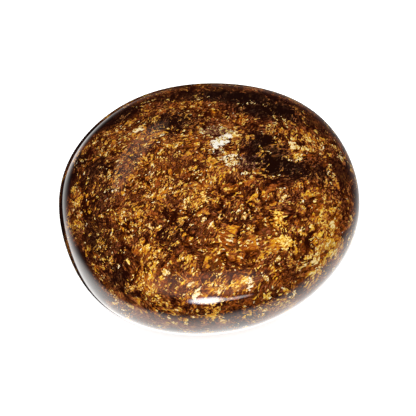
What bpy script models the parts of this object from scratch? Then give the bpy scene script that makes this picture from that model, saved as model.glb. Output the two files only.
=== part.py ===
"""Polished bronzite pebble: one solid stone, rounded all over, that lies on a small worn flat.

The form starts as a cube whose faces are cut into a fine grid.  The cube is blown up to a ball, and the
ball is pressed into a pebble: long in X, a little narrower in Y and flat in Z.
"""
import math

import bmesh
import bpy
from mathutils import Vector

# Driving dimensions, in metres
LENGTH = 0.0456         # along X, before the outline waves take 0.6 mm off
WIDTH = 0.0413          # along Y, before the same waves
THICKNESS = 0.0192      # along Z, before the underside is worn flat
FLAT_DEPTH = 0.00045    # how much the worn flat takes off the underside

# How the outline, seen from above, departs from an ellipse: (waves round the stone, height, bearing)
OUTLINE_WAVES = (
    (3, 0.0107, math.radians(2.0)),
    (4, 0.0099, math.radians(39.4)),
    (6, 0.0045, math.radians(37.4)),
)
SHOULDER = 0.03         # fullness of the shoulders, as a share of the radius
FRONT_THICKER = 0.08    # how much thicker the front edge is than the middle, as a share

GRID_CUTS = 23          # cuts across each face of the starting cube
BRONZE_BROWN = (0.256, 0.104, 0.026, 1.0)   # bronze brown, the stone's mean colour


def clear_scene():
    """Remove every object that the file opened with."""
    for old in list(bpy.data.objects):
        bpy.data.objects.remove(old, do_unlink=True)


def ball_point(corner):
    """Carry a point of the cube from -1 to 1 onto the unit ball, with the grid spread evenly."""
    x2, y2, z2 = corner.x ** 2, corner.y ** 2, corner.z ** 2
    return Vector((
        corner.x * math.sqrt(1 - y2 / 2 - z2 / 2 + y2 * z2 / 3),
        corner.y * math.sqrt(1 - z2 / 2 - x2 / 2 + z2 * x2 / 3),
        corner.z * math.sqrt(1 - x2 / 2 - y2 / 2 + x2 * y2 / 3),
    ))


def pebble_point(ball):
    """Press a point of the unit ball into the pebble's surface."""
    reach = math.hypot(ball.x, ball.y)
    bearing = math.atan2(ball.y, ball.x)
    outline = 1.0
    for waves, height, start in OUTLINE_WAVES:
        outline += height * reach ** waves * math.cos(waves * (bearing - start))
    shoulder = 1 + SHOULDER * 4 * (reach * ball.z) ** 2
    return Vector((
        LENGTH / 2 * ball.x * shoulder * outline,
        WIDTH / 2 * ball.y * shoulder * outline,
        THICKNESS / 2 * ball.z * shoulder * (1 - FRONT_THICKER * ball.y),
    ))


def wear_flat(verts):
    """Flatten the lowest part of the stone, and set it down centred on the origin."""
    flat_height = min(v.co.z for v in verts) + FLAT_DEPTH
    for v in verts:
        v.co.z = max(v.co.z, flat_height)
    middle_x = (max(v.co.x for v in verts) + min(v.co.x for v in verts)) / 2
    middle_y = (max(v.co.y for v in verts) + min(v.co.y for v in verts)) / 2
    for v in verts:
        v.co -= Vector((middle_x, middle_y, flat_height))


def bronzite_material():
    """Polished brown stone with the half-metallic sheen of bronzite."""
    material = bpy.data.materials.new("bronzite")
    material.use_nodes = True
    shader = material.node_tree.nodes["Principled BSDF"]
    shader.inputs["Base Color"].default_value = BRONZE_BROWN
    shader.inputs["Metallic"].default_value = 0.35
    shader.inputs["Roughness"].default_value = 0.3
    return material


def make_pebble(collection):
    """Build the stone as one closed mesh of its own."""
    form = bmesh.new()
    bmesh.ops.create_cube(form, size=2.0)
    bmesh.ops.subdivide_edges(form, edges=form.edges[:], cuts=GRID_CUTS, use_grid_fill=True)
    for v in form.verts:
        v.co = pebble_point(ball_point(v.co))
    wear_flat(form.verts)
    for face in form.faces:
        face.smooth = True
    mesh = bpy.data.meshes.new("pebble")
    form.to_mesh(mesh)
    form.free()
    pebble = bpy.data.objects.new("pebble", mesh)
    pebble.data.materials.append(bronzite_material())
    collection.objects.link(pebble)
    return pebble


def main():
    clear_scene()
    collection = bpy.data.collections.new("bronzite_pebble")
    bpy.context.scene.collection.children.link(collection)
    make_pebble(collection)


main()
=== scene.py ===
# %% [markdown]
# # A polished bronzite pebble
# Bronzite is a brown stone full of thin plates. Under the polish each plate throws the light back like a
# flake of bronze, gold where it faces the light and nearly black where it turns away. The object is one
# stone, tumbled until it is round, so this lesson has one piece and one rich material.
#
# The imported model comes first. It is the fixed frame; its size is printed, and the stone built below takes
# its place.

# %% Load the frame
import math

import bmesh
import bpy
from mathutils import Euler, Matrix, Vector
from mathutils.bvhtree import BVHTree


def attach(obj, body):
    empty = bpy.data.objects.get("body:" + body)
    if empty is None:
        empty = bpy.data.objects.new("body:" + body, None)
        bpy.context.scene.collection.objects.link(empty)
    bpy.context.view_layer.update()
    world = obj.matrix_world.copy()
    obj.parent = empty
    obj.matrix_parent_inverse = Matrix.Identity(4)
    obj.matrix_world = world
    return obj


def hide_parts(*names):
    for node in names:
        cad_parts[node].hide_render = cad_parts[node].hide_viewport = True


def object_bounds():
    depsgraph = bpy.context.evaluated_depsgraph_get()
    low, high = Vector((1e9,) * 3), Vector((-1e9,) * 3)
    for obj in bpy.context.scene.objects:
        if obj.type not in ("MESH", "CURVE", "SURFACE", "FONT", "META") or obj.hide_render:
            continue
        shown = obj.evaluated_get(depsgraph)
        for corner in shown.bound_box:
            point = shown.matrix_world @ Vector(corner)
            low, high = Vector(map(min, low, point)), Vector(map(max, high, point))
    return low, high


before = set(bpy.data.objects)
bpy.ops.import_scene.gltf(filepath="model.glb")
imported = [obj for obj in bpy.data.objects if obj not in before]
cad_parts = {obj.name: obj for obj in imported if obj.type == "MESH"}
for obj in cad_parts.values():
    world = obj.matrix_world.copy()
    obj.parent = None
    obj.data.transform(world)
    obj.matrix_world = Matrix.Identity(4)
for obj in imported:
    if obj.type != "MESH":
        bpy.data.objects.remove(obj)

MM = 0.001
cad_low, cad_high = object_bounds()
cad_size = cad_high - cad_low
print("packed stone, mm:", [round(side / MM, 2) for side in cad_size])


# %% [markdown]
# ## The stone's form
# A tumbled stone has no straight line on it. It could be sculpted, but a formula gives a cleaner curve,
# and a polish shows every small dent. So the stone starts as a cube with finely cut faces. The cube is
# blown up to a ball, and the ball is pressed into the pebble. A grid made this way has even, four-sided
# faces all over, with none of the pinched points that a globe has at its poles.

# %% The ball under the stone
def ball_point(corner):
    """Carry a point of the cube from -1 to 1 onto the unit ball, with the grid spread evenly."""
    x2, y2, z2 = corner.x ** 2, corner.y ** 2, corner.z ** 2
    return Vector((
        corner.x * math.sqrt(1 - y2 / 2 - z2 / 2 + y2 * z2 / 3),
        corner.y * math.sqrt(1 - z2 / 2 - x2 / 2 + z2 * x2 / 3),
        corner.z * math.sqrt(1 - x2 / 2 - y2 / 2 + x2 * y2 / 3),
    ))


# %% The press that turns the ball into the pebble
LENGTH = 45.6 * MM
WIDTH = 41.3 * MM
THICKNESS = 19.2 * MM
FLAT_DEPTH = 0.45 * MM          # how much of the underside is worn flat
# How the outline, seen from above, departs from an ellipse: (waves round the stone, height, bearing)
OUTLINE_WAVES = (
    (3, 0.0107, math.radians(2.0)),
    (4, 0.0099, math.radians(39.4)),
    (6, 0.0045, math.radians(37.4)),
)
SHOULDER = 0.03                 # how much fuller than an ellipse the stone is above and below its rim
FRONT_THICKER = 0.08            # the share of its thickness that it gains in front and loses at the back


def pebble_point(ball):
    """Press a point of the unit ball into the pebble's surface."""
    reach = math.hypot(ball.x, ball.y)
    bearing = math.atan2(ball.y, ball.x)
    outline = 1.0
    for waves, height, start in OUTLINE_WAVES:
        outline += height * reach ** waves * math.cos(waves * (bearing - start))
    shoulder = 1 + SHOULDER * 4 * (reach * ball.z) ** 2
    return Vector((
        LENGTH / 2 * ball.x * shoulder * outline,
        WIDTH / 2 * ball.y * shoulder * outline,
        THICKNESS / 2 * ball.z * shoulder * (1 - FRONT_THICKER * ball.y),
    ))


# %% [markdown]
# ## A flat map of the skin
# A texture painter wants the skin laid out flat. Here the ball is folded out of an eight-sided diamond:
# the upper half fills the diamond in the middle of the square, and the lower half fills the four corners.
# The folds run along edges of the grid, so no face is cut.

# %% Unfold the ball
MAP_MARGIN = 0.006


def unfolded(ball, side_x, side_y):
    """Place of a point of the ball on the flat map, for a face on the given side of X and Y."""
    spread = abs(ball.x) + abs(ball.y) + abs(ball.z)
    across, along = abs(ball.x) / spread, abs(ball.y) / spread
    if ball.z < 0:
        across, along = 1 - along, 1 - across
    keep = 0.5 - MAP_MARGIN
    return 0.5 + keep * side_x * across, 0.5 + keep * side_y * along


# %% Build the stone
GRID_CUTS = 95


def build_stone(name):
    """Make the stone as one smooth closed mesh with its flat map; return it and the ball's middle."""
    form = bmesh.new()
    bmesh.ops.create_cube(form, size=2.0)
    bmesh.ops.subdivide_edges(form, edges=form.edges[:], cuts=GRID_CUTS, use_grid_fill=True)
    flat_map = form.loops.layers.uv.new("OFBake")
    for vert in form.verts:
        vert.co = ball_point(vert.co)
    for face in form.faces:
        face.smooth = True
        middle = face.calc_center_median()
        side_x, side_y = math.copysign(1, middle.x), math.copysign(1, middle.y)
        for corner in face.loops:
            corner[flat_map].uv = unfolded(corner.vert.co, side_x, side_y)
    for vert in form.verts:
        vert.co = pebble_point(vert.co)
    flat_height = min(vert.co.z for vert in form.verts) + FLAT_DEPTH
    low_x, high_x = min(v.co.x for v in form.verts), max(v.co.x for v in form.verts)
    low_y, high_y = min(v.co.y for v in form.verts), max(v.co.y for v in form.verts)
    set_down = Vector((-(low_x + high_x) / 2, -(low_y + high_y) / 2, -flat_height))
    for vert in form.verts:
        vert.co.z = max(vert.co.z, flat_height)
        vert.co += set_down
    mesh = bpy.data.meshes.new(name)
    form.to_mesh(mesh)
    form.free()
    stone = bpy.data.objects.new(name, mesh)
    bpy.context.scene.collection.objects.link(stone)
    return stone, set_down


stone, ball_middle = build_stone("polished_pebble")
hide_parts("pebble")
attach(stone, "root")
print("stone faces:", len(stone.data.polygons))
print("stone size, mm:", [round(side / MM, 2) for side in stone.dimensions])


# %% [markdown]
# ## The camera
# A small stone looks true from a little distance with a long lens, where a near lens would bulge it. The
# camera stands in front and a bit to the left, and looks down steeply. It is made before the material,
# because the marks in the stone are placed as this camera sees them.

# %% Camera
CAMERA_BEARING = math.radians(-13.9)
CAMERA_HEIGHT_ANGLE = math.radians(62.0)
CAMERA_DISTANCE = 355 * MM
PICTURE_WIDTH = 62.4 * MM       # how much of the table fits across the picture
STONE_RIGHT = 0.04 * MM         # where the stone's middle stands in the picture, from the centre
STONE_UP = 0.44 * MM

to_camera = Vector((
    math.sin(CAMERA_BEARING) * math.cos(CAMERA_HEIGHT_ANGLE),
    -math.cos(CAMERA_BEARING) * math.cos(CAMERA_HEIGHT_ANGLE),
    math.sin(CAMERA_HEIGHT_ANGLE),
))
picture_right = Vector((math.cos(CAMERA_BEARING), math.sin(CAMERA_BEARING), 0))
picture_up = to_camera.cross(picture_right)
picture_middle = ball_middle - STONE_RIGHT * picture_right - STONE_UP * picture_up

camera_data = bpy.data.cameras.new("long_lens")
camera_data.sensor_width = 36   # mm
camera_data.lens = camera_data.sensor_width * CAMERA_DISTANCE / PICTURE_WIDTH
camera_data.clip_start = 10 * MM
camera_data.clip_end = 20
camera = bpy.data.objects.new("long_lens", camera_data)
camera.location = picture_middle + to_camera * CAMERA_DISTANCE
camera.rotation_mode = "QUATERNION"
camera.rotation_quaternion = (-to_camera).to_track_quat("-Z", "Y")
bpy.context.scene.collection.objects.link(camera)
bpy.context.scene.camera = camera
print("lens, mm:", round(camera_data.lens, 1))


# %% [markdown]
# ## Marks where the camera sees them
# A mark on the stone could be placed by three coordinates, but those are hard to judge by eye. It is easier
# to say how far right and up of the picture's middle it should show. A ray is then shot from the camera
# towards that point, and the mark's place is where the ray meets the stone.

# %% Find the place on the stone under a point of the picture
stone_skin = BVHTree.FromObject(stone, bpy.context.evaluated_depsgraph_get())


def seen_at(right_mm, up_mm):
    """Place on the stone, in metres, that the camera sees so far right and up of the picture's middle."""
    aim = picture_middle + (right_mm * picture_right + up_mm * picture_up) * MM
    place = stone_skin.ray_cast(camera.location, aim - camera.location)[0]
    if place is None:
        raise ValueError(f"no stone at {right_mm}, {up_mm}")
    return place


print("top of the stone as seen, mm:", [round(c / MM, 1) for c in seen_at(0, 0)])


# %% [markdown]
# ## Helpers for shader nodes
# A shader is a web of small boxes. It can be drawn by hand in the node editor, or written down. Written
# down it reads like sums, so these helpers add one box each and plug in what it needs.

# %% Node helpers
def plug(tree, socket, source):
    """Give a socket a value, or join another node's output to it."""
    if isinstance(source, bpy.types.NodeSocket):
        tree.links.new(source, socket)
    else:
        socket.default_value = source


def sums(tree, operation, *sources):
    """Add a Math node and return its result."""
    node = tree.nodes.new("ShaderNodeMath")
    node.operation = operation
    for socket, source in zip(node.inputs, sources):
        plug(tree, socket, source)
    return node.outputs[0]


def vectors(tree, operation, *sources):
    """Add a Vector Math node and return its vector, or its number for a length or a dot product."""
    node = tree.nodes.new("ShaderNodeVectorMath")
    node.operation = operation
    for socket, source in zip(node.inputs, sources):
        plug(tree, socket, source)
    return node.outputs["Value" if operation in ("LENGTH", "DOT_PRODUCT") else "Vector"]


def scaled(tree, vector, amount):
    """Multiply a vector by one number."""
    node = tree.nodes.new("ShaderNodeVectorMath")
    node.operation = "SCALE"
    plug(tree, node.inputs[0], vector)
    plug(tree, node.inputs["Scale"], amount)
    return node.outputs["Vector"]


def parted(tree, source, kind="Color"):
    """Part a colour or a vector into its three numbers, and return them by name."""
    node = tree.nodes.new("ShaderNodeSeparate" + kind)
    plug(tree, node.inputs[0], source)
    return node.outputs


def stretched(tree, value, low, high, new_low=0.0, new_high=1.0, smooth=False):
    """Spread the values from low to high over a new range, and stop them there."""
    node = tree.nodes.new("ShaderNodeMapRange")
    node.interpolation_type = "SMOOTHSTEP" if smooth else "LINEAR"
    for name, source in (("Value", value), ("From Min", low), ("From Max", high),
                         ("To Min", new_low), ("To Max", new_high)):
        plug(tree, node.inputs[name], source)
    return node.outputs["Result"]


# %% Helpers that mix and colour
def mixed(tree, share, first, second, kind="FLOAT", blend="MIX"):
    """Mix two numbers or two colours."""
    node = tree.nodes.new("ShaderNodeMix")
    node.data_type = kind
    node.clamp_factor = False
    if kind == "RGBA":
        node.blend_type = blend
    first_socket, second_socket, result = {"FLOAT": (2, 3, 0), "RGBA": (6, 7, 2)}[kind]
    plug(tree, node.inputs[0], share)
    plug(tree, node.inputs[first_socket], first)
    plug(tree, node.inputs[second_socket], second)
    return node.outputs[result]


def ramp(tree, value, stops):
    """Turn a number into a colour by a list of (place, colour) stops."""
    node = tree.nodes.new("ShaderNodeValToRGB")
    points = node.color_ramp.elements
    while len(points) < len(stops):
        points.new(1.0)
    for point, (place, colour) in zip(points, stops):
        point.position = place
        point.color = colour
    plug(tree, node.inputs["Fac"], value)
    return node.outputs["Color"]


def grey(value):
    """A grey of the given brightness, as a colour."""
    return value, value, value, 1


# %% Helpers for patterns
def cloud(tree, place, size, detail=2.0, rough=0.5, kind="Fac"):
    """Add soft noise whose lumps are about so many millimetres across."""
    node = tree.nodes.new("ShaderNodeTexNoise")
    plug(tree, node.inputs["Vector"], place)
    node.inputs["Scale"].default_value = 1 / size
    node.inputs["Detail"].default_value = detail
    node.inputs["Roughness"].default_value = rough
    return node.outputs[kind]


def cells(tree, place, size, feature="F1", distance="EUCLIDEAN"):
    """Add a pattern of closed cells about so many millimetres across, and return its outputs."""
    node = tree.nodes.new("ShaderNodeTexVoronoi")
    node.feature = feature
    node.distance = distance
    plug(tree, node.inputs["Vector"], place)
    node.inputs["Scale"].default_value = 1 / size
    return node.outputs


# %% Helpers for node groups
def new_group(name, takes, gives):
    """Start a group with named inputs and outputs; return its tree, its inputs and what it gives out."""
    group = bpy.data.node_groups.new(name, "ShaderNodeTree")
    for socket_name, kind, start in takes:
        socket = group.interface.new_socket(socket_name, in_out="INPUT", socket_type="NodeSocket" + kind)
        socket.default_value = start
    for socket_name, kind in gives:
        group.interface.new_socket(socket_name, in_out="OUTPUT", socket_type="NodeSocket" + kind)
    return group, group.nodes.new("NodeGroupInput").outputs, group.nodes.new("NodeGroupOutput").inputs


def use_group(tree, group, **sources):
    """Place a node group, plug in its inputs by name, and return its outputs."""
    node = tree.nodes.new("ShaderNodeGroup")
    node.node_tree = group
    for name, source in sources.items():
        plug(tree, node.inputs[name], source)
    return node.outputs


# %% [markdown]
# ## Ragged places
# Nothing in a rock has a ruler-straight edge. Torn edges could be drawn into every pattern, but it is
# simpler to tear the place where a pattern is looked up. This group pushes a place about by coarse and
# fine noise, and every pattern drawn there comes out ragged.

# %% Group: ragged place
COARSE_LUMPS = 4.0              # mm
FINE_LUMPS = 0.42


def make_ragged_place():
    """Push a place about by coarse and fine noise."""
    tree, takes, gives = new_group(
        "ragged place",
        [("Place", "Vector", (0, 0, 0)), ("Coarse", "Float", 1.0), ("Fine", "Float", 0.3)],
        [("Place", "Vector")],
    )
    place = takes["Place"]
    for lumps, strength in ((COARSE_LUMPS, "Coarse"), (FINE_LUMPS, "Fine")):
        noise = cloud(tree, takes["Place"], lumps, kind="Color")
        push = vectors(tree, "SUBTRACT", noise, (0.5, 0.5, 0.5))
        place = vectors(tree, "ADD", place, scaled(tree, push, takes[strength]))
    plug(tree, gives["Place"], place)
    return tree


ragged_place = make_ragged_place()
print("ragged place:", len(ragged_place.nodes), "nodes")


# %% [markdown]
# ## How the grains lie
# A grain of bronzite, a few millimetres across, is a pack of thin plates that all lie one way. Its
# neighbour lies another way, so the light catches one and misses the other. Space is cut into cells for
# the grains, and each cell is turned. In the middle of the stone the grains slant across it, and towards
# the rim more and more of them follow the edge. A little chance is added to every turn.

# %% Turn the grains
GRAIN_SIZE = 3.2                # mm
GRAIN_SWING = (1.0, 1.0, 1.4)   # most turn of a grain by chance about X, Y and Z, radians
GRAIN_LEAN = (-0.5, -0.5, -0.7)
INNER_TURN = math.radians(25)   # how the grains slant in the middle of the stone
ROUND_THE_EDGE = (12.0, 24.0)   # from here, in mm, more and more grains follow the edge instead


def grain_turn(tree, grain):
    """How far each grain is turned about X, Y and Z."""
    middle = parted(tree, grain["Position"], "XYZ")
    along_edge = sums(tree, "ADD", sums(tree, "ARCTAN2", middle["Y"], middle["X"]), math.pi / 2)
    from_middle = vectors(tree, "LENGTH", vectors(tree, "MULTIPLY", grain["Position"], (1, 1, 0)))
    near_edge = stretched(tree, from_middle, *ROUND_THE_EDGE)
    follows = sums(tree, "GREATER_THAN", near_edge, parted(tree, grain["Color"])["Blue"])
    about_up = tree.nodes.new("ShaderNodeCombineXYZ")
    plug(tree, about_up.inputs["Z"], mixed(tree, follows, INNER_TURN, along_edge))
    by_chance = vectors(tree, "MULTIPLY_ADD", grain["Color"], GRAIN_SWING, GRAIN_LEAN)
    return vectors(tree, "ADD", by_chance, about_up.outputs[0])


# %% Size the grains
TO_FRONT_RIGHT = (0.7, -0.7, 0)
FINE_TO_BROAD = (-10.0, 8.0)    # mm towards the front right over which the pattern grows
FINE_GRAIN = 0.75               # size of the pattern at the back left, and at the front right
BROAD_GRAIN = 1.2


def turned_place(tree, place):
    """The place as its own grain sees it: turned with the grain, and scaled to the grain's size."""
    grain = cells(tree, place, GRAIN_SIZE)
    turner = tree.nodes.new("ShaderNodeVectorRotate")
    turner.rotation_type = "EULER_XYZ"
    turner.invert = True
    plug(tree, turner.inputs["Vector"], place)
    plug(tree, turner.inputs["Rotation"], grain_turn(tree, grain))
    front_right = vectors(tree, "DOT_PRODUCT", grain["Position"], TO_FRONT_RIGHT)
    size = stretched(tree, front_right, *FINE_TO_BROAD, FINE_GRAIN, BROAD_GRAIN)
    return scaled(tree, turner.outputs["Vector"], sums(tree, "DIVIDE", 1.0, size))


# %% [markdown]
# ## Plates, flakes, chips and glints
# Each grain is a pile of broken plates, from some millimetres down to mere glints. In the turned space
# the pattern lays four coats of cells over each other, the broadest first. In each coat some cells shine,
# some are dark gaps, and the rest let the coat below show. A cell's diamond shape comes from measuring
# distance in steps along the axes. Every cell also has its own painted shading, brighter on one side as a
# bent plate catches the light, its own greyness and its own share of speckle.

# %% Lay one coat of cells
# (name, cell length and thickness in mm, share that shines, its tone, spread of tone, share dark, dark tone,
# how much the fibres tear the edges, how grey the shining cells are)
COATS = (
    ("plates", 3.4, 2.0, 0.74, 0.40, 0.50, 0.14, 0.08, 0.10, 0.40),
    ("flakes", 1.6, 0.90, 0.20, 0.58, 0.40, 0.14, 0.08, 0.20, 0.42),
    ("chips", 0.80, 0.45, 0.12, 0.74, 0.40, 0.10, 0.02, 0.20, 0.54),
    ("glints", 0.40, 0.24, 0.02, 0.88, 0.20, 0.09, 0.02, 0.30, 0.64),
)
CELL_EDGE = 0.03                # how gently a cell starts, as a share of its lot
GAP_SPREAD = 0.2
GAP_GREYNESS = 0.55
GREY_SPREAD = 0.5
# painted shading: a cell is brighter on one side, as a bent plate that catches the light there
PAINTED_CELL_SHADING = 0.55             # how much a cell brightens from one side to the other
SPECKLE_SPREAD = (0.4, 1.6)     # some cells are smooth and some are finely speckled


def lay_coat(tree, below, coat, turned, richness, splinters):
    """Lay one coat over what is below; return the tone, tilt, greyness and speckle that then show."""
    tone, tilt, greyness, speckled = below
    _, long, thick, lit_share, lit_tone, spread, dark_share, dark_tone, tearing, lit_greyness = coat
    shrunk = vectors(tree, "MULTIPLY", turned, (1 / long, 1 / thick, 1 / thick))
    pattern = cells(tree, shrunk, 1.0, distance="MANHATTAN")
    lots = parted(tree, pattern["Color"])
    lot = sums(tree, "ADD", lots["Red"], richness)
    lot = sums(tree, "MULTIPLY_ADD", splinters, tearing, lot)
    shines = stretched(tree, lot, 1 - lit_share, 1 + CELL_EDGE - lit_share)
    gap = stretched(tree, lot, dark_share, dark_share - CELL_EDGE)
    off_middle = vectors(tree, "SUBTRACT", shrunk, pattern["Position"])
    slant = vectors(tree, "SUBTRACT", pattern["Color"], (0.5, 0.5, 0.5))
    # Painted shading: each cell brightens from one side to the other.
    cell_shading = vectors(tree, "DOT_PRODUCT", off_middle, slant)
    face = sums(tree, "MULTIPLY_ADD", lots["Green"], spread, lit_tone - spread / 2)
    face = sums(tree, "MULTIPLY_ADD", cell_shading, PAINTED_CELL_SHADING, face)
    tone = mixed(tree, shines, tone, face)
    tone = mixed(tree, gap, tone, sums(tree, "MULTIPLY_ADD", lots["Green"], GAP_SPREAD, dark_tone))
    tilt = vectors(tree, "ADD", tilt, scaled(tree, pattern["Color"], 1 / len(COATS)))
    own_grey = sums(tree, "MULTIPLY_ADD", lots["Blue"], GREY_SPREAD, lit_greyness - GREY_SPREAD / 2)
    greyness = mixed(tree, shines, greyness, own_grey)
    greyness = mixed(tree, gap, greyness, GAP_GREYNESS)
    own_speckle = stretched(tree, lots["Blue"], 0.0, 1.0, *SPECKLE_SPREAD)
    return tone, tilt, greyness, mixed(tree, shines, speckled, own_speckle)


# %% Open the seams between the plates
SEAM_WIDTH = (0.06, 0.17)       # of tight seams and of gaping ones, as a share of a plate
SEAM_DEPTH = (0.12, 0.60)       # how much darker they are
GAPING_SIZE = 2.5               # mm
GAPING = (0.47, 0.62)           # where in the noise seams start to gape, and where they gape fully


def seam_darkness(tree, place, turned):
    """How much darker the stone is in the seams between its plates."""
    _, long, thick = COATS[0][:3]
    seam_place = vectors(tree, "MULTIPLY", turned, (1 / long, 1 / thick, 1 / thick))
    from_seam = cells(tree, seam_place, 1.0, "DISTANCE_TO_EDGE")["Distance"]
    gaping = stretched(tree, cloud(tree, place, GAPING_SIZE, 1.0), *GAPING)
    width = mixed(tree, gaping, *SEAM_WIDTH)
    return stretched(tree, from_seam, 0.0, width, mixed(tree, gaping, *SEAM_DEPTH), 0.0)


# %% Group: bronzite grain
GROUND = (0.33, (-0.5, -0.5, -0.5), 0.5, 1.0)   # tone, tilt, greyness and speckle under all the coats
FIBRE_FINENESS = (2.0, 4.4, 4.4)                # fibres in a mm, along the grain and across it
FIBRE_ROUGHNESS = 0.9
FIBRE_SHARE = 2.0               # how much the fibres change the tone
MOST_SPECKLE = 0.13             # fibres brighter than this are cut off, so that no white dots show
GREY_SPECKLE = 2.4


def make_bronzite_grain():
    """Lay plates, flakes, chips and glints over a fibrous ground, with dark seams between the plates."""
    tree, takes, gives = new_group(
        "bronzite grain",
        [("Place", "Vector", (0, 0, 0)), ("Richness", "Float", 0.0)],
        [("Tone", "Float"), ("Tilt", "Vector"), ("Greyness", "Float"), ("Fibre", "Float")],
    )
    turned = turned_place(tree, takes["Place"])
    fibre_place = vectors(tree, "MULTIPLY", turned, FIBRE_FINENESS)
    fibres = parted(tree, cloud(tree, fibre_place, 1.0, 1.0, FIBRE_ROUGHNESS, kind="Color"))
    splinters = sums(tree, "SUBTRACT", fibres["Red"], 0.5)
    look = GROUND
    for coat in COATS:
        look = lay_coat(tree, look, coat, turned, takes["Richness"], splinters)
    tone, tilt, greyness, speckled = look
    speckle = sums(tree, "MULTIPLY", sums(tree, "MINIMUM", splinters, MOST_SPECKLE), speckled)
    tone = sums(tree, "MULTIPLY_ADD", speckle, FIBRE_SHARE, tone)
    tone = sums(tree, "SUBTRACT", tone, seam_darkness(tree, takes["Place"], turned))
    off_grey = sums(tree, "SUBTRACT", fibres["Green"], 0.5)
    greyness = sums(tree, "MULTIPLY_ADD", off_grey, GREY_SPECKLE, greyness)
    plug(tree, gives["Tone"], tone)
    plug(tree, gives["Tilt"], tilt)
    plug(tree, gives["Greyness"], stretched(tree, greyness, 0.0, 1.0))
    plug(tree, gives["Fibre"], splinters)
    return tree


bronzite_grain = make_bronzite_grain()
print("bronzite grain:", len(COATS), "coats,", len(bronzite_grain.nodes), "nodes")


# %% [markdown]
# ## Soft patches
# The pattern above is the same everywhere, and the stone isn't. It has dark fields, golden fields and
# single bright flakes in their own places. A painter would dab them on a texture, and here one group
# draws any of them: a long soft spot with a middle, a direction, a length and a width. Its edge turns
# ragged with the place that it is given.

# %% Group: soft patch
def make_soft_patch():
    """Draw one soft oval patch: 1 in the middle, 0 outside."""
    tree, takes, gives = new_group(
        "soft patch",
        [("Place", "Vector", (0, 0, 0)), ("Middle", "Vector", (0, 0, 0)), ("Along", "Vector", (1, 0, 0)),
         ("Length", "Float", 2.0), ("Width", "Float", 1.0), ("Softness", "Float", 0.5)],
        [("Mask", "Float")],
    )
    from_middle = vectors(tree, "SUBTRACT", takes["Place"], takes["Middle"])
    along = vectors(tree, "DOT_PRODUCT", from_middle, takes["Along"])
    lengthwise = scaled(tree, takes["Along"], along)
    across = vectors(tree, "LENGTH", vectors(tree, "SUBTRACT", from_middle, lengthwise))
    far_along = sums(tree, "POWER", sums(tree, "DIVIDE", along, takes["Length"]), 2.0)
    far_across = sums(tree, "POWER", sums(tree, "DIVIDE", across, takes["Width"]), 2.0)
    far = sums(tree, "SQRT", sums(tree, "ADD", far_along, far_across))
    inner = sums(tree, "SUBTRACT", 1.0, takes["Softness"])
    outer = sums(tree, "ADD", 1.0, takes["Softness"])
    plug(tree, gives["Mask"], stretched(tree, far, outer, inner, smooth=True))
    return tree


soft_patch = make_soft_patch()


def patch_mask(tree, place, right, up, direction, length, width, softness):
    """Where one patch lies, from its middle and its direction as the camera sees them."""
    turn = math.radians(direction)
    along = math.cos(turn) * picture_right + math.sin(turn) * picture_up
    return use_group(
        tree, soft_patch, Place=place, Middle=seen_at(right, up) / MM, Along=along,
        Length=length, Width=width, Softness=softness,
    )["Mask"]


# %% Wide fields, darker or richer than the rest
# (name, right, up, direction in degrees, half length, half width, softness, change of tone), in mm
PATCHES = (
    ("dark top field", 7.6, 15.6, -26, 8.5, 2.8, 0.5, -0.34),
    ("dark back edge", -1.0, 17.0, 2, 10.0, 1.5, 0.6, -0.24),
    ("brown field under the back edge", -5.6, 12.8, 0, 4.5, 2.2, 0.6, -0.26),
    ("dark field right of the pale patch", 8.6, 8.2, -60, 5.0, 3.2, 0.6, -0.32),
    ("dark band on the right", 15.4, 5.4, 0, 6.0, 1.8, 0.5, -0.22),
    ("gold on the back right shoulder", 13.6, 12.4, -30, 3.4, 1.2, 0.6, 0.12),
    ("golden upper left", -11.0, 10.6, 28, 3.6, 1.8, 0.6, 0.10),
    ("dark upper left", -13.6, 13.6, 30, 3.6, 1.8, 0.6, -0.28),
    ("amber left of the middle", -7.6, 6.2, 70, 3.5, 1.8, 0.7, 0.08),
    ("amber above the middle", 1.0, 4.8, 45, 4.0, 1.8, 0.6, 0.20),
    ("dark field in the middle", -6.0, -3.8, 5, 3.4, 1.8, 0.6, -0.16),
    ("dark field right of the middle", 4.0, -0.4, 0, 5.5, 1.5, 0.6, -0.10),
    ("amber column", -9.4, -8.8, 84, 5.4, 1.7, 0.6, 0.14),
    ("amber at the front", -6.2, -11.2, 0, 4.2, 2.0, 0.6, 0.18),
    ("dark lower left", -15.0, -6.5, -40, 5.5, 2.6, 0.6, -0.12),
    ("dark field at the front left", -12.6, -11.6, -35, 3.2, 1.6, 0.6, -0.18),
    ("dark field at the left", -16.8, -1.5, 85, 5.0, 2.2, 0.7, -0.16),
    ("brown field at the left", -16.6, 6.0, 70, 4.2, 2.4, 0.6, -0.20),
    ("gold field in front of the middle", 4.0, -6.2, 0, 6.5, 2.6, 0.6, 0.14),
    ("gold field right of the middle", 8.8, -4.0, 70, 4.6, 1.6, 0.6, 0.12),
    ("gold field at the front right", 8.2, -11.0, 20, 3.4, 1.8, 0.6, 0.18),
    ("gold field at the right", 17.4, -1.6, 80, 4.6, 1.9, 0.6, 0.24),
    ("amber lower right", 16.8, -7.6, 50, 3.2, 1.7, 0.6, 0.24),
    ("gold field at the right edge", 19.4, -3.0, 80, 4.0, 1.4, 0.6, 0.12),
    # painted reflection: the warm wall's haze above the glint, laid into the tone
    ("painted haze of the wall above the glint", 1.5, -11.6, 5, 5.0, 1.6, 0.6, 0.14),
    ("dark field at the left edge", -20.0, 6.0, 80, 3.6, 1.4, 0.6, -0.24),
)


def add_patches(tree, place):
    """Add every wide patch's change of tone together."""
    total = 0.0
    for _, *patch, change in PATCHES:
        total = sums(tree, "MULTIPLY_ADD", patch_mask(tree, place, *patch), change, total)
    return total


print("wide fields:", len(PATCHES))
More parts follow.
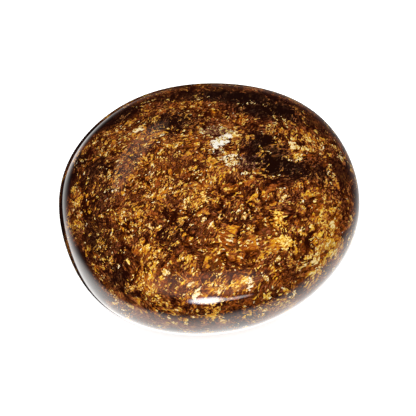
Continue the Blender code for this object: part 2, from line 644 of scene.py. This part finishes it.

# %% [markdown]
# ## Painted shade and light at the rim
# Round the rim, bands of painted shade and light cover the pattern: dark brown painted shade at the back and
# sides, where little light falls, and warm tan at the front for the lit table's light and reflection. These
# bands cover a share of the pattern with one tone, and the rest still shows through.

# %% Lay the bands of painted rim shade and light
# (name, right, up, direction in degrees, half length, half width, softness, how much they cover, their tone)
# Dark bands are painted shade at the back and sides; tan bands at the front are painted table light and
# reflection.
RIM_LIGHT_AND_SHADE_BANDS = (
    ("back", 2.0, 17.8, -2, 15.0, 1.9, 0.6, 0.3, -0.12),
    ("back right", 15.0, 13.6, -45, 7.0, 2.4, 0.5, 0.3, -0.12),
    ("right edge", 20.8, 4.5, -75, 4.5, 1.5, 0.5, 0.5, -0.12),
    ("left edge", -21.7, 1.2, 86, 8.0, 1.9, 0.5, 0.9, -0.12),
    ("lower left edge", -18.8, -9.4, -57, 6.5, 2.0, 0.5, 0.85, -0.12),
    ("upper left edge", -17.3, 11.4, 50, 7.0, 1.8, 0.5, 0.9, -0.12),
    ("front", -4.0, -17.6, -4, 12.0, 1.2, 0.5, 0.65, 0.60),
    ("front left", -12.5, -14.2, -33, 5.0, 1.2, 0.5, 0.5, 0.40),
    ("front right", 12.5, -14.6, 30, 7.0, 1.6, 0.5, 0.65, 0.66),
    ("right at the front", 18.2, -9.6, 52, 4.5, 1.2, 0.5, 0.5, 0.62),
)
RIM_BAND_GREYNESS = 1.0


def paint_rim_light_and_shade(tree, place, tone, greyness):
    """Cover the pattern with the bands of painted shade and light; return the new tone, the greyness and
    where the dark bands of painted shade are.
    """
    rim_shade_cover = 0.0
    for _, *patch, share, band_tone in RIM_LIGHT_AND_SHADE_BANDS:
        cover = sums(tree, "MULTIPLY", patch_mask(tree, place, *patch), share)
        tone = mixed(tree, cover, tone, band_tone)
        greyness = mixed(tree, cover, greyness, RIM_BAND_GREYNESS)
        # the dark bands are painted shade
        if band_tone < 0:
            rim_shade_cover = sums(tree, "MAXIMUM", rim_shade_cover, cover)
    return tone, greyness, rim_shade_cover


print("calm bands:", len(RIM_LIGHT_AND_SHADE_BANDS))

# %% [markdown]
# ## Single flakes
# Some flakes catch the eye: a pale patch behind the middle, a cream sheaf at its right, gold plates and a
# few black rods. Each is a small patch with its own tone. The pattern below tears its outline, and still
# shows inside it, so that no flake looks like a sticker.

# %% Lay the single flakes
# (name, right, up, direction in degrees, half length, half width, tone, greyness), in mm
FLAKES = (
    ("grey halo above the pale patch", 1.4, 11.5, -10, 2.6, 1.0, 0.46, 1.5),
    ("grey halo right of it", 6.0, 6.9, 30, 1.5, 1.3, 0.24, 1.5),
    ("gold beside the pale patch", 4.3, 10.5, 80, 1.5, 0.8, 0.66, 0.5),
    ("pale patch", 2.0, 10.0, 30, 1.6, 0.8, 0.98, 1.15),
    ("head of the pale patch", 2.9, 10.7, 20, 0.7, 0.5, 1.10, 1.05),
    ("lilac foot of the pale patch", 1.6, 8.5, 35, 0.9, 0.5, 0.60, 1.6),
    ("second pale patch", 3.5, 7.2, 5, 1.3, 0.9, 0.82, 0.95),
    ("cream line below it", 5.7, 5.25, 15, 0.9, 0.25, 0.90, 1.0),
    ("head of the sheaf", 12.9, 9.3, -20, 1.0, 0.55, 0.80, 0.6),
    ("tail of the sheaf", 15.2, 8.7, -5, 1.7, 0.35, 0.72, 0.5),
    ("back of the sheaf", 14.8, 10.1, -10, 1.3, 0.4, 0.54, 0.5),
    ("dark notch in the sheaf", 14.1, 9.6, 0, 1.0, 0.35, 0.02, 0.5),
    ("gold above the sheaf", 12.3, 12.9, -25, 1.4, 0.4, 0.66, 0.5),
    ("cream flake on the shoulder", 16.2, 11.5, -20, 0.6, 0.3, 0.86, 0.6),
    ("brown plate on the right", 19.2, 8.9, -40, 1.0, 0.5, 0.60, 0.8),
    ("cream flake on the right", 19.9, 7.6, -50, 0.6, 0.3, 0.88, 0.7),
    ("cream flake, upper left", -10.5, 11.7, 5, 0.9, 0.38, 0.96, 0.7),
    ("gold plate in the middle", -1.6, 1.3, 35, 1.7, 1.0, 0.60, 0.4),
    ("gold flake, left edge", -20.1, 2.8, -20, 0.7, 0.5, 0.80, 0.3),
    ("cream flake, left", -15.2, 2.5, -10, 0.75, 0.35, 0.92, 0.9),
    ("gold splinter, left", -16.5, 1.6, -25, 0.6, 0.22, 0.78, 0.3),
    ("gold plate, left", -18.1, -0.5, -25, 1.5, 0.6, 0.66, 0.1),
    ("gold cluster, lower left", -18.0, -6.3, 60, 1.3, 0.5, 0.66, 0.2),
    ("gold sliver, lower left", -15.6, -7.7, -12, 1.3, 0.32, 0.78, 0.4),
    ("dark rod", -6.4, -8.1, 45, 1.4, 0.35, 0.03, 0.5),
    ("dark spot", -7.5, -4.4, 80, 0.65, 0.42, 0.06, 0.5),
    ("cream blob by the rod", -6.4, -9.7, -30, 0.5, 0.4, 0.86, 0.6),
    ("cream blob at the glint", -1.7, -12.8, 60, 0.8, 0.45, 0.93, 0.8),
    ("tan flake at the glint", 2.1, -12.2, 70, 0.9, 0.4, 0.70, 0.7),
    ("long tan flake, lower left", -14.1, -13.2, -55, 1.2, 0.4, 0.62, 0.9),
    ("end of the long tan flake", -12.0, -14.7, -20, 1.1, 0.35, 0.68, 0.9),
    ("tan flake at the front", -6.6, -16.2, -25, 0.8, 0.3, 0.60, 0.8),
    ("second tan flake at the front", -5.2, -17.2, -25, 0.6, 0.25, 0.74, 0.8),
    ("cream flake at the front", -3.4, -17.3, 10, 0.5, 0.28, 0.92, 0.7),
    ("round gold grain", 11.8, -5.1, 0, 1.0, 0.95, 0.70, 0.3),
    ("dark arc beside it", 13.5, -4.8, -85, 1.4, 0.25, 0.05, 0.5),
    ("gold plate above it", 11.0, -1.9, -60, 1.4, 0.9, 0.66, 0.2),
    ("bright flake, right", 18.6, -3.0, 70, 1.0, 0.5, 0.80, 0.5),
    ("dark lens at the right edge", 20.5, -1.1, 75, 1.6, 0.6, 0.07, 0.5),
    ("bright flake, lower right", 16.2, -7.7, 50, 1.0, 0.55, 0.82, 0.5),
    ("cream blob, front right", 8.7, -10.4, -50, 0.65, 0.4, 0.90, 0.7),
    ("tan flake, front right", 6.4, -11.1, 80, 1.0, 0.4, 0.76, 0.9),
)
FLAKE_SOFTNESS = 0.5            # how gently a flake's outline starts
FLAKE_TEARING = 0.9             # how much the pattern below tears that outline
TORN_OUTLINE = (0.45, 0.6)      # between these the torn mask turns from nothing to flake
FLAKE_REACH = (0.0, 0.15)       # and it always ends at the soft outline
PATTERN_IN_FLAKE = 0.7          # how strongly the pattern and the fibres still show inside a flake
FIBRES_IN_FLAKE = 0.9
MIDDLE_TONE = 0.36


def lay_flakes(tree, place, fibre, tone, greyness):
    """Lay every single flake over the pattern; return the new tone and greyness."""
    pattern = sums(tree, "SUBTRACT", tone, MIDDLE_TONE)
    fibres = sums(tree, "MULTIPLY", fibre, FIBRES_IN_FLAKE)
    inside = sums(tree, "MULTIPLY_ADD", pattern, PATTERN_IN_FLAKE, fibres)
    for _, *patch, flake_tone, flake_greyness in FLAKES:
        mask = patch_mask(tree, place, *patch, FLAKE_SOFTNESS)
        torn = stretched(tree, sums(tree, "MULTIPLY_ADD", pattern, FLAKE_TEARING, mask), *TORN_OUTLINE)
        mask = sums(tree, "MULTIPLY", torn, stretched(tree, mask, *FLAKE_REACH))
        tone = mixed(tree, mask, tone, sums(tree, "ADD", inside, flake_tone))
        greyness = mixed(tree, mask, greyness, flake_greyness)
    return tone, greyness


print("single flakes:", len(FLAKES))

# %% [markdown]
# ## Tone and greyness of the stone
# Every part of the pattern adds to one tone, from dark to bright, and to one greyness, from pure gold to
# grey. Working with two numbers keeps the colours in one family, where mixing many colours would turn
# muddy. A dark field darkens its dull cells and nearly spares the bright ones, because bright flakes lie
# in dark rock too.

# %% Sum up the pattern
EDGES = {
    "soft": {"Coarse": 3.0, "Fine": 1.2},       # for wide fields and bands
    "crisp": {"Coarse": 1.3, "Fine": 0.15},     # for the grains
    "torn": {"Coarse": 0.5, "Fine": 0.9},       # for single flakes
}
PATCH_RICHNESS = 0.25           # how much a patch changes the number of shining flakes
PATCH_TONE = 0.95               # how much it changes the tone of middling cells
SPARE_THE_BRIGHT = 1.3          # bright cells change less than that, and dark ones more
DRIFT_SIZE = 2.6                # mm; the number of flakes also drifts by chance
DRIFT_OF_RICHNESS = 0.5
DULL_RANGE = (0.8, 0.3)         # cells of the first tone are clean; from there down they get duller
GREY_IN_THE_DARK = 0.8          # the dull cells of dark fields are greyer
GREY_WHERE_POOR = 1.5           # and so is everything where there are few shining flakes
LEAST_GREYNESS = 0.05
SOOT_RANGE = (-0.04, -0.32)     # fields darkened this much hold more and more of a black mineral
SOOT_SHARE = 0.9


def stone_pattern(tree, place):
    """Put the whole pattern together; return its tone, greyness, share of black mineral and painted rim
    shade, and tilt.
    """
    ragged = {
        edge: use_group(tree, ragged_place, Place=place, **strengths)["Place"]
        for edge, strengths in EDGES.items()
    }
    patches = add_patches(tree, ragged["soft"])
    drift = sums(tree, "SUBTRACT", cloud(tree, place, DRIFT_SIZE, 1.0), 0.5)
    richness = sums(tree, "MULTIPLY", patches, PATCH_RICHNESS)
    richness = sums(tree, "MULTIPLY_ADD", drift, DRIFT_OF_RICHNESS, richness)
    grain = use_group(tree, bronzite_grain, Place=ragged["crisp"], Richness=richness)
    above_middle = sums(tree, "SUBTRACT", grain["Tone"], MIDDLE_TONE)
    change = sums(tree, "MULTIPLY_ADD", above_middle, -SPARE_THE_BRIGHT, PATCH_TONE)
    tone = sums(tree, "MULTIPLY_ADD", patches, change, grain["Tone"])
    dull = stretched(tree, tone, *DULL_RANGE)
    greyness = sums(tree, "MULTIPLY", patches, sums(tree, "MULTIPLY", dull, -GREY_IN_THE_DARK))
    greyness = sums(tree, "ADD", grain["Greyness"], greyness)
    greyness = sums(tree, "MULTIPLY_ADD", richness, -GREY_WHERE_POOR, greyness)
    greyness = sums(tree, "MAXIMUM", greyness, LEAST_GREYNESS)
    tone, greyness, shaded_rim = paint_rim_light_and_shade(tree, ragged["soft"], tone, greyness)
    # The black filter goes on the dark rim bands as painted shade, and on the darkest fields as a black
    # mineral.
    mineral_and_rim_shade = sums(tree, "MAXIMUM", shaded_rim, stretched(tree, patches, *SOOT_RANGE, 0.0, SOOT_SHARE))
    mineral_and_rim_shade = sums(tree, "MULTIPLY", mineral_and_rim_shade, dull)
    tone, greyness = lay_flakes(tree, ragged["torn"], grain["Fibre"], tone, greyness)
    return tone, greyness, mineral_and_rim_shade, grain["Tilt"]


# %% [markdown]
# ## The bronzite itself
# A ramp gives the tone its colour, from nearly black through amber and gold to cream. The greyness then
# turns that colour towards gold or towards grey, and a black filter takes the red out: as a black mineral in
# the dark fields, and as painted shade in the dark bands at the rim. Bright plates are a little metallic and
# every cell leans its own way, which gives the bronze glint. A clear coat stands for the polish: it stays
# smooth over the broken plates, as the real ground surface does.

# %% Colours of the stone, from dark to bright
TONE_RANGE = (-0.3, 1.3)        # tones outside this range look like its ends
BRONZE_TONES = (
    (0.12, (0.028, 0.004, 0.001, 1)),
    (0.20, (0.09, 0.014, 0.0036, 1)),
    (0.28, (0.10, 0.021, 0.0042, 1)),
    (0.36, (0.15, 0.045, 0.006, 1)),
    (0.44, (0.25, 0.055, 0.010, 1)),
    (0.52, (0.44, 0.10, 0.03, 1)),
    (0.60, (0.72, 0.28, 0.04, 1)),
    (0.68, (1.0, 0.48, 0.04, 1)),
    (0.76, (1.2, 0.80, 0.10, 1)),
    (0.86, (1.6, 1.25, 0.55, 1)),
)
# What a golden plate, a greyish plate and the black filter do to the colour; the black filter is a black
# mineral in dark fields and painted shade in the dark rim bands
GOLD_FILTER = (1.08, 0.91, 0.20, 1)
GREY_FILTER = (0.92, 1.06, 1.90, 1)
MINERAL_AND_SHADE_FILTER = (0.50, 0.82, 1.10, 1)
LIGHT_ON_STONE = 2.0            # how much the lights brighten a matt surface that faces up


def stone_colour(tree, tone, greyness, mineral_and_rim_shade):
    """Colour of the stone under the polish."""
    colour = ramp(tree, stretched(tree, tone, *TONE_RANGE), BRONZE_TONES)
    hue = mixed(tree, greyness, GOLD_FILTER, GREY_FILTER, "RGBA")
    colour = mixed(tree, 1.0, colour, hue, "RGBA", "MULTIPLY")
    # black filter: a black mineral in dark fields, painted shade in the dark rim bands
    colour = mixed(tree, mineral_and_rim_shade, colour, MINERAL_AND_SHADE_FILTER, "RGBA", "MULTIPLY")
    return mixed(tree, 1.0, colour, grey(1 / LIGHT_ON_STONE), "RGBA", "MULTIPLY")


# %% Bronzite material
METALLIC_TONES = (0.6, 0.95)    # between these tones the plates turn metallic, up to
MOST_METALLIC = 0.25
ROUGH_TONES = (0.2, 0.9)        # and between these their faces turn smoother
ROUGHNESS = (0.6, 0.42)
LEAN = 0.5                      # how far the cells lean
POLISH_ROUGHNESS = 0.03
POLISH_IOR = 1.6


def make_bronzite():
    """Build the polished bronzite material."""
    material = bpy.data.materials.new("bronzite")
    material.use_nodes = True
    tree = material.node_tree
    shader = tree.nodes["Principled BSDF"]
    place = scaled(tree, tree.nodes.new("ShaderNodeTexCoord").outputs["Object"], 1 / MM)
    tone, greyness, mineral_and_rim_shade, tilt = stone_pattern(tree, place)
    plug(tree, shader.inputs["Base Color"], stone_colour(tree, tone, greyness, mineral_and_rim_shade))
    plug(tree, shader.inputs["Metallic"], stretched(tree, tone, *METALLIC_TONES, 0.0, MOST_METALLIC))
    plug(tree, shader.inputs["Roughness"], stretched(tree, tone, *ROUGH_TONES, *ROUGHNESS))
    facing = tree.nodes.new("ShaderNodeNewGeometry").outputs["Normal"]
    leaning = vectors(tree, "ADD", facing, scaled(tree, tilt, LEAN))
    plug(tree, shader.inputs["Normal"], vectors(tree, "NORMALIZE", leaning))
    shader.inputs["Specular IOR Level"].default_value = 0.0
    shader.inputs["IOR"].default_value = POLISH_IOR
    shader.inputs["Coat Weight"].default_value = 1.0
    shader.inputs["Coat Roughness"].default_value = POLISH_ROUGHNESS
    shader.inputs["Coat IOR"].default_value = POLISH_IOR
    return material


bronzite = make_bronzite()
stone.data.materials.append(bronzite)
print("bronzite:", len(bronzite.node_tree.nodes), "nodes")


# %% [markdown]
# ## The table
# The stone lies on a plain pale table, bright enough to blend with the background. A real white table
# would throw so much light up that the underside of the stone glowed. So the table looks white to the
# camera, and darker to the light that it throws back. It doesn't show in the polish, where a glowing
# card, made below, stands in for it.

# %% Table
TABLE_HALF_SIDE = 3.0           # m
TABLE_PALE = 0.9
TABLE_BOUNCE = 0.2              # how pale the table looks to the light it throws back at the stone
TABLE_GLOW = 0.43               # the table is lit from below too, which keeps shadows faint


def make_table():
    """Lay the plain pale table under the stone."""
    form = bmesh.new()
    bmesh.ops.create_grid(form, x_segments=1, y_segments=1, size=TABLE_HALF_SIDE)
    mesh = bpy.data.meshes.new("pale_table")
    form.to_mesh(mesh)
    form.free()
    table = bpy.data.objects.new("pale_table", mesh)
    material = bpy.data.materials.new("pale_table")
    material.use_nodes = True
    tree = material.node_tree
    shader = tree.nodes["Principled BSDF"]
    rays = tree.nodes.new("ShaderNodeLightPath").outputs
    plug(tree, shader.inputs["Base Color"], mixed(
        tree, rays["Is Diffuse Ray"], grey(TABLE_PALE), grey(TABLE_BOUNCE), "RGBA"))
    shader.inputs["Roughness"].default_value = 0.9
    shader.inputs["Specular IOR Level"].default_value = 0.0
    shader.inputs["Emission Color"].default_value = grey(1)
    glow = sums(tree, "MULTIPLY", rays["Is Camera Ray"], TABLE_GLOW)
    plug(tree, shader.inputs["Emission Strength"], glow)
    mesh.materials.append(material)
    table.visible_glossy = False
    bpy.context.scene.collection.objects.link(table)
    return table


print("table:", make_table().name)


# %% [markdown]
# ## Light from above
# One very soft light from above lights the stone, like a tent of white cloth. A sun lamp with a wide
# angle does that with a single lamp. It is hidden from reflections, because the cards below give those.

# %% Light
OVERHEAD_FROM = (-20, 84)       # bearing from the camera's side and height above the table, degrees
OVERHEAD_STRENGTH = 5.6
OVERHEAD_ANGLE = math.radians(95)


def from_front(bearing_degrees, height_degrees):
    """Direction from the stone, measured from the camera's side and above the table."""
    bearing = CAMERA_BEARING + math.radians(bearing_degrees)
    height = math.radians(height_degrees)
    return Vector((
        math.sin(bearing) * math.cos(height),
        -math.cos(bearing) * math.cos(height),
        math.sin(height),
    ))


def make_overhead():
    """Hang the soft light over the stone."""
    data = bpy.data.lights.new("soft_overhead", "SUN")
    data.energy = OVERHEAD_STRENGTH
    data.angle = OVERHEAD_ANGLE
    light = bpy.data.objects.new("soft_overhead", data)
    direction = from_front(*OVERHEAD_FROM)
    light.location = direction
    light.rotation_mode = "QUATERNION"
    light.rotation_quaternion = (-direction).to_track_quat("-Z", "Y")
    light.visible_glossy = False
    bpy.context.scene.collection.objects.link(light)
    return light


print("light:", make_overhead().name)


# %% [markdown]
# ## What the polish mirrors
# A polished stone shows its surroundings as a dim mirror, strongest at the rim. Real surroundings could
# be built, but a few glowing cards are simpler and easy to aim. They show in reflections alone and light
# nothing.

# %% Cards
CARD_CORNERS = ((-1, -1), (1, -1), (1, 1), (-1, 1))


def make_card(name, corners, build_glow):
    """Set up a glowing card that shows in reflections alone."""
    form = bmesh.new()
    form.faces.new([form.verts.new(corner) for corner in corners])
    mesh = bpy.data.meshes.new(name)
    form.to_mesh(mesh)
    form.free()
    card = bpy.data.objects.new(name, mesh)
    card.visible_camera = False
    card.visible_diffuse = False
    card.visible_shadow = False
    material = bpy.data.materials.new(name)
    material.use_nodes = True
    tree = material.node_tree
    tree.nodes.remove(tree.nodes["Principled BSDF"])
    glow = tree.nodes.new("ShaderNodeEmission")
    place = scaled(tree, tree.nodes.new("ShaderNodeTexCoord").outputs["Object"], 1 / MM)
    colour, power = build_glow(tree, place)
    plug(tree, glow.inputs["Color"], colour)
    plug(tree, glow.inputs["Strength"], power)
    clear = tree.nodes.new("ShaderNodeBsdfTransparent")
    both = tree.nodes.new("ShaderNodeAddShader")
    plug(tree, both.inputs[0], glow.outputs[0])
    plug(tree, both.inputs[1], clear.outputs[0])
    plug(tree, tree.nodes["Material Output"].inputs["Surface"], both.outputs[0])
    mesh.materials.append(material)
    bpy.context.scene.collection.objects.link(card)
    return card


def facing_card(name, bearing, height, distance, wide, tall, roll, build_glow):
    """Hang a card, wide by tall in mm, that faces the stone from the given direction."""
    corners = [Vector((x * wide / 2, y * tall / 2, 0)) * MM for x, y in CARD_CORNERS]
    card = make_card(name, corners, build_glow)
    direction = from_front(bearing, height)
    card.location = direction * distance * MM
    card.rotation_mode = "QUATERNION"
    tip = Euler((0, 0, math.radians(roll))).to_quaternion()
    card.rotation_quaternion = direction.to_track_quat("Z", "Y") @ tip
    return card


# %% [markdown]
# ## The lit table in the polish
# The rim mirrors the table close by. The table is bright at the left and in front, dim at the back, and
# dark where the stone's own soft shade falls at the back left: that shade draws the thin dark line along
# the left rim. A card just above the table glows in that way. Its brightness and reach are given by
# bearing.

# %% The lit pool on the table
# (bearing from the camera's side in degrees, brightness, mm out to where it has fallen to half, how sharply)
POOL_ROUND = (
    (-172, 0.0, 44, 8), (-157, 0.7, 46, 8), (-142, 3.2, 50, 8), (-127, 4.6, 57, 8),
    (-112, 5.0, 44, 5), (-97, 5.6, 40.5, 5), (-82, 7.2, 37.5, 4), (-67, 5.4, 57, 3),
    (-52, 4.0, 77, 3), (-37, 4.0, 85, 3), (-22, 3.1, 86, 3), (-7, 3.1, 48, 3),
    (7, 3.3, 62, 3), (22, 2.7, 72, 3), (37, 3.0, 52, 3), (52, 2.5, 53, 3),
    (67, 2.5, 56, 3), (82, 2.4, 48, 3), (97, 2.2, 32, 4), (112, 0.9, 32, 4), (145, 0.6, 30, 4),
)
POOL_COLOUR = (1.0, 0.98, 0.95, 1)
POOL_SIDE = 400                 # mm, half its width
POOL_HEIGHT = 0.05
SHADE_MIDDLE = from_front(180, 0) * 12.7 + from_front(-90, 0) * 9.0     # the stone's own shade, mm
SHADE_REACH = (28.6, 30.6)


def pool_glow(tree, place):
    """Brightness of the lit table as the polish mirrors it."""
    towards_camera = vectors(tree, "DOT_PRODUCT", place, from_front(0, 0))
    towards_right = vectors(tree, "DOT_PRODUCT", place, from_front(90, 0))
    bearing = sums(tree, "ARCTAN2", towards_right, towards_camera)
    around = stretched(tree, bearing, -math.pi, math.pi)

    def by_bearing(column):
        """A value from the table above, for every bearing."""
        most = max(row[column] for row in POOL_ROUND)
        stops = [(0.5 + row[0] / 360, grey(row[column] / most)) for row in POOL_ROUND]
        return sums(tree, "MULTIPLY", ramp(tree, around, stops), most)

    far = sums(tree, "DIVIDE", vectors(tree, "LENGTH", place), by_bearing(2))
    fallen = sums(tree, "ADD", sums(tree, "POWER", far, by_bearing(3)), 1.0)
    from_shade = vectors(tree, "LENGTH", vectors(tree, "SUBTRACT", place, SHADE_MIDDLE))
    lit = stretched(tree, from_shade, *SHADE_REACH, smooth=True)
    return POOL_COLOUR, sums(tree, "MULTIPLY", sums(tree, "DIVIDE", by_bearing(1), fallen), lit)


pool_corners = [Vector((x * POOL_SIDE, y * POOL_SIDE, POOL_HEIGHT)) * MM for x, y in CARD_CORNERS]
pool = make_card("pool_in_the_polish", pool_corners, pool_glow)
print(pool.name + ":", len(POOL_ROUND), "bearings")


# %% [markdown]
# ## The lamp, the wall and the ceiling
# One lamp in front draws the white streak low on the stone. It is shaped like a drop with a faint tail,
# and a blue fringe keeps its edge from looking cut out. A warm wall above it lays a faint haze over the
# front, and a strip of ceiling behind lays a dim veil over the left shoulder.

# %% The lamp
LAMP_HALF_LENGTH = 170.0        # mm, seen from 500 mm
LAMP_HALF_HEIGHT = 80.0
LAMP_POWER = 20.0
LAMP_COLOURS = ((0.0, (0.12, 0.14, 0.5, 1)), (0.3, (0.6, 0.65, 1.0, 1)), (0.7, (1, 1, 1, 1)))
TAIL_START = (-0.25, 0.15)      # where the drop narrows to its tail, as a share of the half length
TAIL_HEIGHT = 0.45              # height and power of the tail, as shares of the drop's
TAIL_POWER = 0.25


def lamp_glow(tree, place):
    """A lamp shaped like a drop with a faint tail at the right, white inside and blue at its edge."""
    parts = parted(tree, place, "XYZ")
    along = sums(tree, "DIVIDE", parts["X"], LAMP_HALF_LENGTH)
    tail = stretched(tree, along, *TAIL_START, smooth=True)
    height = mixed(tree, tail, LAMP_HALF_HEIGHT, LAMP_HALF_HEIGHT * TAIL_HEIGHT)
    across = sums(tree, "DIVIDE", parts["Y"], height)
    far_along = sums(tree, "POWER", sums(tree, "ABSOLUTE", along), 4.0)
    far = sums(tree, "ADD", far_along, sums(tree, "POWER", across, 2.0))
    core = stretched(tree, far, 1.0, 0.0, smooth=True)
    power = mixed(tree, tail, LAMP_POWER, LAMP_POWER * TAIL_POWER)
    power = sums(tree, "MULTIPLY", sums(tree, "POWER", core, 2.0), power)
    return ramp(tree, core, LAMP_COLOURS), power


lamp = facing_card(
    "lamp_in_the_polish", 11.5, 26.5, 500, 2 * LAMP_HALF_LENGTH, 2 * LAMP_HALF_HEIGHT, -10, lamp_glow)
print("lamp at, mm:", [round(part / MM) for part in lamp.location])


# %% The wall and the ceiling
# (name, bearing and height in degrees, distance, width and height in mm, roll in degrees, colour, power)
SOFT_CARDS = (
    ("wall_in_the_polish", 2, 50, 600, 800, 440, 0, (1.0, 0.60, 0.48, 1), 1.2),
    ("ceiling_in_the_polish", -150, 40, 600, 420, 130, 34, (0.85, 0.95, 0.9, 1), 0.45),
)
OVAL_FADE = (1.0, 0.6)          # from its outline to this share of it, a soft card grows to full power


def soft_oval(wide, tall, colour, power):
    """Return a glow that fades out towards the edge of an oval."""
    def glow(tree, place):
        far = vectors(tree, "LENGTH", vectors(tree, "DIVIDE", place, (wide / 2, tall / 2, 1)))
        return colour, stretched(tree, far, *OVAL_FADE, 0.0, power, smooth=True)
    return glow


for name, bearing, height, distance, wide, tall, roll, colour, power in SOFT_CARDS:
    facing_card(name, bearing, height, distance, wide, tall, roll, soft_oval(wide, tall, colour, power))
print("soft cards:", len(SOFT_CARDS))


# %% [markdown]
# ## The studio
# The room is plain white behind the stone and dark for everything else, so that only the cards show in
# the polish.

# %% Room
ROOM_PALE = 0.9
ROOM_GLOW = (0.005, 1.1)        # for light that falls on things, and as the camera sees it

world = bpy.data.worlds.new("studio")
world.use_nodes = True
bpy.context.scene.world = world
room_tree = world.node_tree
room = room_tree.nodes["Background"]
rays = room_tree.nodes.new("ShaderNodeLightPath")
plug(room_tree, room.inputs["Color"], grey(ROOM_PALE))
seen = rays.outputs["Is Camera Ray"]
plug(room_tree, room.inputs["Strength"], stretched(room_tree, seen, 0.0, 1.0, *ROOM_GLOW))
bpy.context.scene.view_settings.view_transform = "Standard"
